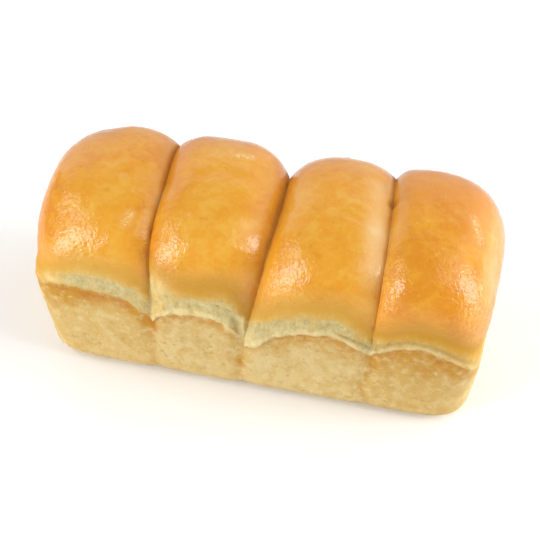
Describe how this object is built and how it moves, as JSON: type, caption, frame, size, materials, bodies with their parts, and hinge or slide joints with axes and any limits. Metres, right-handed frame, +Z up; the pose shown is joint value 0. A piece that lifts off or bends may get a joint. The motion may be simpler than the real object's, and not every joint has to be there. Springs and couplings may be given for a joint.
{
  "type": "pain de mie loaf",
  "caption": "Long tin loaf with flat pale walls and a row of rounded glossy golden lobes risen over the rim, parted by seams and edged by a soft pale lip.",
  "frame": {"origin": "bottom centre of the bounding box, in the plane of the flat base", "axes": "+X along the loaf, +Y across it towards the back, +Z up"},
  "size_m": [0.285, 0.1216, 0.1286],
  "materials": {
    "crust": "baked golden crust"
  },
  "bodies": {
    "root": {"loaf": "crust"}
  },
  "joints": []
}
